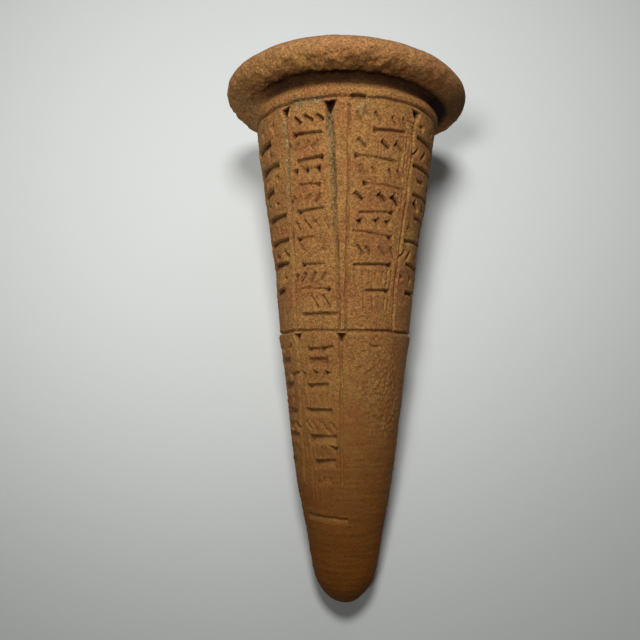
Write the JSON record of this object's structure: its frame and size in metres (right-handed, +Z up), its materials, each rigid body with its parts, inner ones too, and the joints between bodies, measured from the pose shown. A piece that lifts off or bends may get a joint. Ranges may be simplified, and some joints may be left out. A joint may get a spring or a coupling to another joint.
{
  "type": "clay foundation cone",
  "caption": "Solid baked-clay cone shaped like a broad nail, with a rolled round head and ruled panels of wedge strokes, lying on its side as a display piece.",
  "frame": {"origin": "on the ground under the middle of the lying cone's box", "axes": "+Z up, +Y from the nose towards the head, +X to the right seen with the nose towards the viewer"},
  "size_m": [0.0594, 0.1276, 0.0583],
  "materials": {
    "baked_clay": "matt, sandy, worn"
  },
  "bodies": {
    "root": {"foundation_cone": "baked_clay"}
  },
  "joints": []
}
